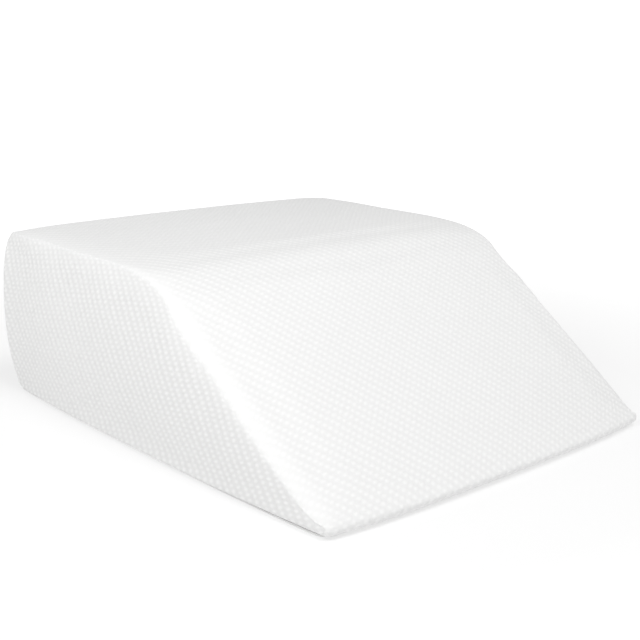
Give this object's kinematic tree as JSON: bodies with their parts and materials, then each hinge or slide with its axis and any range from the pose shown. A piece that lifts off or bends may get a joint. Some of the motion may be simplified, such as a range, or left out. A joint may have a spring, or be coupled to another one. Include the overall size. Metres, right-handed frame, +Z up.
{
  "type": "wedge pillow",
  "caption": "Wedge pillow for raising the legs: level top, long slope and thin rounded toe, in a white knitted cover with a sewn base panel",
  "frame": {"origin": "on the floor under the middle of the pillow", "axes": "+X across the width, +Y along the length from the thin toe to the tall back panel, +Z up"},
  "size_m": [0.5271, 0.6121, 0.2045],
  "materials": {
    "knit_cover": "matte white bubble knit",
    "base_cloth": "matte white plain knit"
  },
  "bodies": {
    "root": {"wedge_body": "knit_cover", "base_panel": "base_cloth"}
  },
  "joints": []
}
